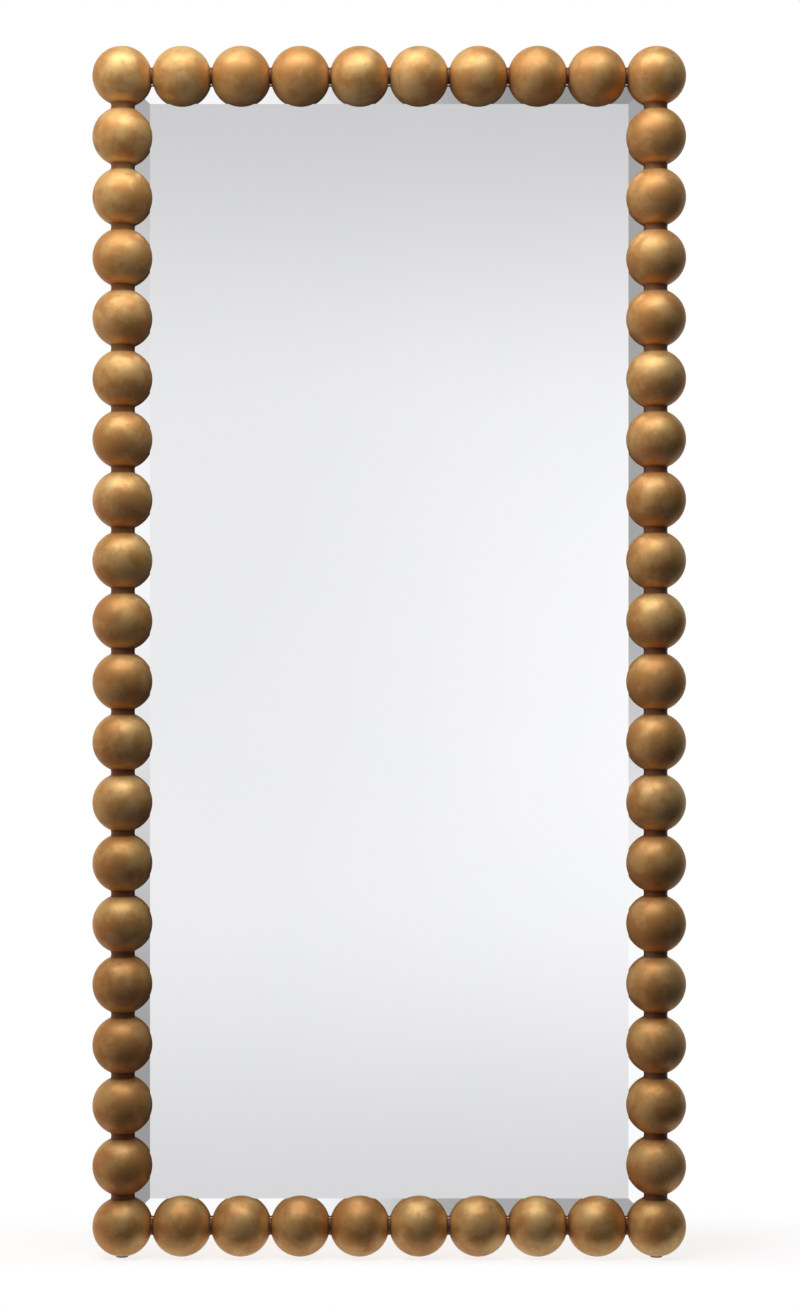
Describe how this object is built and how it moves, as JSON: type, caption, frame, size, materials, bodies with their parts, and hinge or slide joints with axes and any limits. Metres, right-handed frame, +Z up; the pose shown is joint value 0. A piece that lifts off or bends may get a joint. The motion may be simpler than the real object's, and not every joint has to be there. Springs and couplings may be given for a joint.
{
  "type": "leaner mirror",
  "caption": "Tall leaning floor mirror: bevelled glass in a beaded frame of turned, gilded balls, with rubber feet, wall bumpers and swinging hanger rings on its back.",
  "frame": {"origin": "on the floor, under the middle of the object's box", "axes": "+X to the viewer's right when facing the glass, +Y to the back (the glass faces -Y), +Z up"},
  "size_m": [0.9978, 0.103, 2.0348],
  "materials": {
    "gilded_wood": "antique gilding over a red-brown ground, satin",
    "beech": "plain sanded",
    "mirror_glass": "polished, bevelled, silvered behind",
    "fibreboard": "plain medium-density fibreboard",
    "pine": "planed, unfinished",
    "zinc_steel": "zinc plated",
    "rubber": "moulded, matte"
  },
  "bodies": {
    "mirror": {"backing_board": "fibreboard", "bottom_ball_screws": "zinc_steel", "bottom_balls": "gilded_wood", "bottom_batten": "pine", "bottom_collars": "gilded_wood", "bottom_dowel": "beech", "corner_ball_bottom_left": "gilded_wood", "corner_ball_bottom_right": "gilded_wood", "corner_ball_top_left": "gilded_wood", "corner_ball_top_right": "gilded_wood", "corner_plate_bottom_left": "zinc_steel", "corner_plate_bottom_right": "zinc_steel", "corner_plate_top_left": "zinc_steel", "corner_plate_top_right": "zinc_steel", "floor_pad_left": "rubber", "floor_pad_right": "rubber", "left_ball_screws": "zinc_steel", "left_balls": "gilded_wood", "left_collars": "gilded_wood", "left_dowel": "beech", "left_hanger_screws": "zinc_steel", "left_hanger_strap": "zinc_steel", "left_stile": "pine", "lower_brace": "pine", "mirror_glass": "mirror_glass", "plate_screws_bottom_left": "zinc_steel", "plate_screws_bottom_right": "zinc_steel", "plate_screws_top_left": "zinc_steel", "plate_screws_top_right": "zinc_steel", "right_ball_screws": "zinc_steel", "right_balls": "gilded_wood", "right_collars": "gilded_wood", "right_dowel": "beech", "right_hanger_screws": "zinc_steel", "right_hanger_strap": "zinc_steel", "right_stile": "pine", "setting_blocks": "rubber", "top_ball_screws": "zinc_steel", "top_balls": "gilded_wood", "top_batten": "pine", "top_collars": "gilded_wood", "top_dowel": "beech", "upper_brace": "pine", "wall_bumper_bottom_left": "rubber", "wall_bumper_bottom_right": "rubber", "wall_bumper_top_left": "rubber", "wall_bumper_top_right": "rubber"},
    "left_ring": {"left_hanger_ring": "zinc_steel"},
    "right_ring": {"right_hanger_ring": "zinc_steel"}
  },
  "joints": [
    {"name": "left_ring_hinge", "type": "hinge", "parent": "mirror", "child": "left_ring", "pos_m": [-0.41567, 0.03918, 1.51792], "axis": [1, 0, 0], "range_deg": [0, 180]},
    {"name": "right_ring_hinge", "type": "hinge", "parent": "mirror", "child": "right_ring", "pos_m": [0.41567, 0.03918, 1.51792], "axis": [1, 0, 0], "range_deg": [0, 180]}
  ]
}
